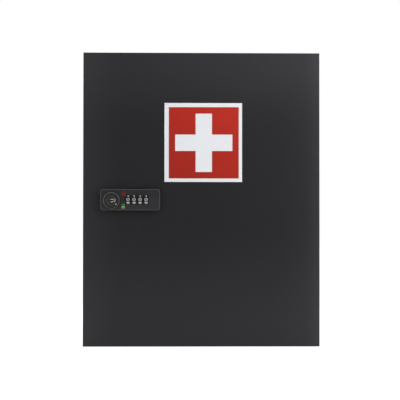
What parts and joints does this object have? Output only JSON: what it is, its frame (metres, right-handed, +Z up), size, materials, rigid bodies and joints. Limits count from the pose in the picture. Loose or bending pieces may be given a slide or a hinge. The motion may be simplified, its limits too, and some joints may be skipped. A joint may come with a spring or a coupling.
{
  "type": "medication lock box",
  "caption": "Flat steel wall cabinet with an overlay door on a concealed continuous hinge, shelves on slotted strips, a cross sign and a combination cam lock.",
  "frame": {"origin": "on the underside of the cabinet's base, below the middle of the whole object's box with the door closed", "axes": "+Z up the cabinet, +Y from the door back to the wall, +X to the right of someone who faces the door"},
  "size_m": [0.3682, 0.1568, 0.4584],
  "materials": {
    "powder_coat": "fine-textured dark grey powder coat, semi-matt",
    "lock_shell": "satin dark grey painted die casting",
    "lock_dark": "satin black moulded plastic",
    "plug_metal": "nickel-plated, turned, slightly worn",
    "zinc_steel": "bright zinc plated",
    "spring_steel": "bare spring steel",
    "rubber": "soft black rubber",
    "white_vinyl": "white self-adhesive vinyl, satin",
    "red_vinyl": "red self-adhesive vinyl, satin"
  },
  "bodies": {
    "cabinet": {"cabinet_shell": "powder_coat", "back_panel": "powder_coat", "shelf_strip_left_front": "powder_coat", "shelf_strip_right_front": "powder_coat", "shelf_strip_left_rear": "powder_coat", "shelf_strip_right_rear": "powder_coat", "shelf_lower": "powder_coat", "shelf_upper": "powder_coat", "shelf_clip_lower_left_front": "zinc_steel", "shelf_clip_lower_right_front": "zinc_steel", "shelf_clip_lower_left_rear": "zinc_steel", "shelf_clip_lower_right_rear": "zinc_steel", "shelf_clip_upper_left_front": "zinc_steel", "shelf_clip_upper_right_front": "zinc_steel", "shelf_clip_upper_left_rear": "zinc_steel", "shelf_clip_upper_right_rear": "zinc_steel", "door_bumper_left_lower": "rubber", "door_bumper_left_upper": "rubber", "door_bumper_right_lower": "rubber", "door_bumper_right_upper": "rubber", "hinge_leaf_cabinet": "powder_coat", "hinge_pin": "zinc_steel"},
    "door": {"door_panel": "powder_coat", "door_stiffener": "powder_coat", "hinge_leaf_door": "powder_coat", "sign_base": "white_vinyl", "sign_red_field": "red_vinyl", "lock_housing": "lock_shell", "lock_rear_cover": "lock_shell", "lock_screw_inner": "zinc_steel", "lock_screw_outer": "zinc_steel", "detent_spring": "spring_steel", "dial_axle": "zinc_steel"},
    "lock_knob": {"knob": "lock_dark", "lock_cylinder": "lock_dark", "cam": "zinc_steel", "cam_nut": "zinc_steel"},
    "key_barrel": {"key_plug": "plug_metal"},
    "dial_1": {"dial_wheel_1": "lock_dark"},
    "dial_2": {"dial_wheel_2": "lock_dark"},
    "dial_3": {"dial_wheel_3": "lock_dark"},
    "dial_4": {"dial_wheel_4": "lock_dark"}
  },
  "joints": [
    {"name": "door_swing", "type": "hinge", "parent": "cabinet", "child": "door", "pos_m": [0.18045, -0.04285, 0.2292], "axis": [0, 0, 1], "range_deg": [0, 110]},
    {"name": "knob_turn", "type": "hinge", "parent": "door", "child": "lock_knob", "pos_m": [-0.13975, -0.06135, 0.22685], "axis": [0, -1, 0], "range_deg": [0, 90]},
    {"name": "key_turn", "type": "hinge", "parent": "lock_knob", "child": "key_barrel", "pos_m": [-0.13975, -0.06135, 0.22685], "axis": [0, 1, 0], "range_deg": [0, 90]},
    {"name": "dial_1_turn", "type": "hinge", "parent": "door", "child": "dial_1", "pos_m": [-0.11394, -0.06795, 0.2282], "axis": [1, 0, 0], "continuous": true},
    {"name": "dial_2_turn", "type": "hinge", "parent": "door", "child": "dial_2", "pos_m": [-0.1047, -0.06795, 0.2282], "axis": [1, 0, 0], "continuous": true},
    {"name": "dial_3_turn", "type": "hinge", "parent": "door", "child": "dial_3", "pos_m": [-0.09545, -0.06795, 0.2282], "axis": [1, 0, 0], "continuous": true},
    {"name": "dial_4_turn", "type": "hinge", "parent": "door", "child": "dial_4", "pos_m": [-0.08621, -0.06795, 0.2282], "axis": [1, 0, 0], "continuous": true}
  ]
}
